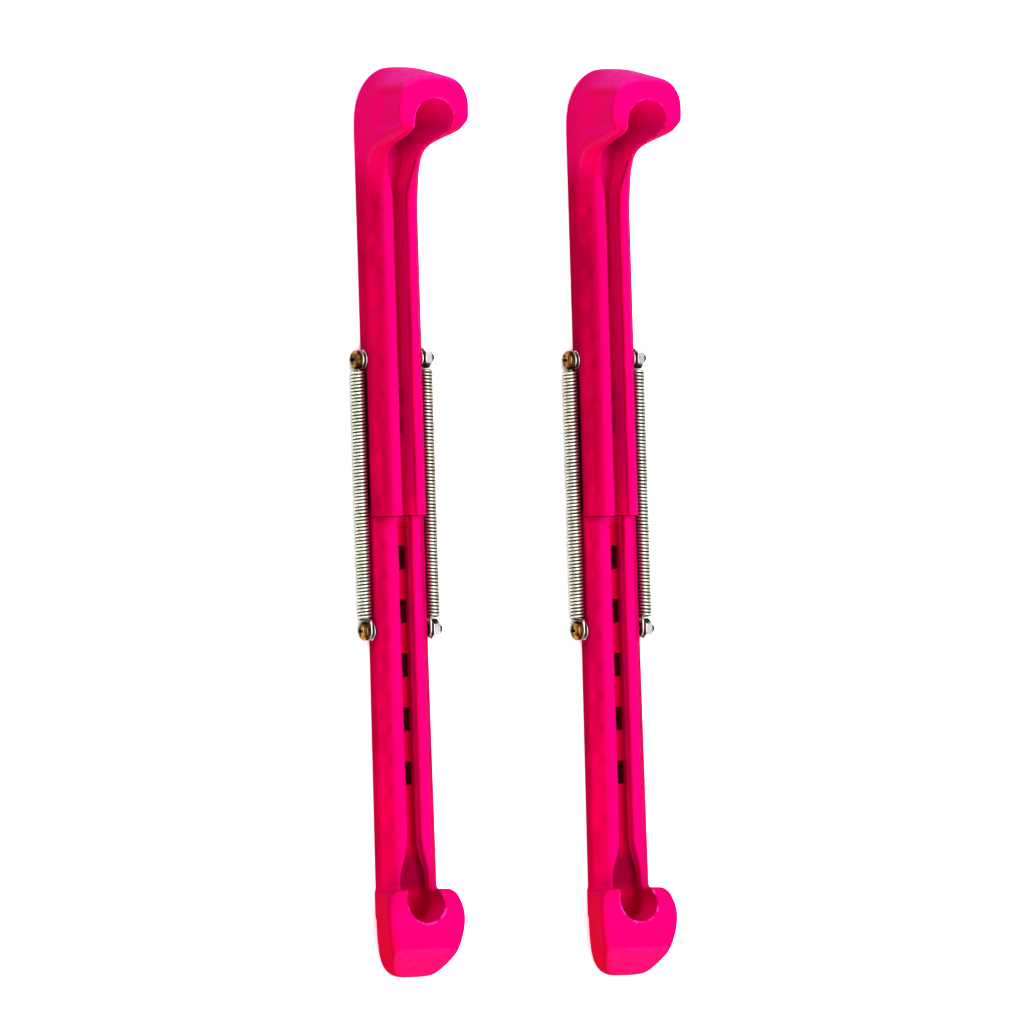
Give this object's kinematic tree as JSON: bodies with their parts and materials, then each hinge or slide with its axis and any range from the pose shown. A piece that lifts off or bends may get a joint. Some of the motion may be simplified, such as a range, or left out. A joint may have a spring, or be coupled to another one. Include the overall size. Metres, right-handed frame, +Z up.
{
  "type": "skate blade guards",
  "caption": "Pair of two-piece walking guards for figure skate blades, each with a hooked toe cup and a short heel cup pulled together by two side springs.",
  "frame": {"origin": "middle of the pair's box on the floor plane, under the soles", "axes": "+Z up, +Y towards the toes along the blades, +X across to the right guard; screw heads face -X and nuts face +X"},
  "size_m": [0.0995, 0.282, 0.0425],
  "materials": {
    "shell_plastic": "satin moulded hot pink plastic",
    "screw_brass": "brass plated, slightly tarnished",
    "zinc_steel": "bright zinc plated",
    "spring_steel": "drawn spring wire"
  },
  "bodies": {
    "left_heel": {"left_heel_shell": "shell_plastic", "left_heel_screw": "screw_brass", "left_heel_nut": "zinc_steel", "left_heel_washer": "zinc_steel", "left_spring_head_side": "spring_steel", "left_spring_nut_side": "spring_steel"},
    "left_toe": {"left_toe_shell": "shell_plastic", "left_toe_screw": "screw_brass", "left_toe_nut": "zinc_steel", "left_toe_washer": "zinc_steel"},
    "right_heel": {"right_heel_shell": "shell_plastic", "right_heel_screw": "screw_brass", "right_heel_nut": "zinc_steel", "right_heel_washer": "zinc_steel", "right_spring_head_side": "spring_steel", "right_spring_nut_side": "spring_steel"},
    "right_toe": {"right_toe_shell": "shell_plastic", "right_toe_screw": "screw_brass", "right_toe_nut": "zinc_steel", "right_toe_washer": "zinc_steel"}
  },
  "joints": [
    {"name": "left_stretch", "type": "slide", "parent": "left_heel", "child": "left_toe", "axis": [0, 1, 0], "range_m": [0, 0.03], "stiffness_N_per_m": 3480, "springref_m": -0.003, "deforming": ["left_spring_head_side", "left_spring_nut_side"]},
    {"name": "right_stretch", "type": "slide", "parent": "right_heel", "child": "right_toe", "axis": [0, 1, 0], "range_m": [0, 0.03], "stiffness_N_per_m": 3480, "springref_m": -0.003, "deforming": ["right_spring_head_side", "right_spring_nut_side"]},
    {"name": "right_guard_slide", "type": "slide", "parent": "left_heel", "child": "right_heel", "axis": [1, 0, 0], "range_m": [0, 0.1]}
  ]
}
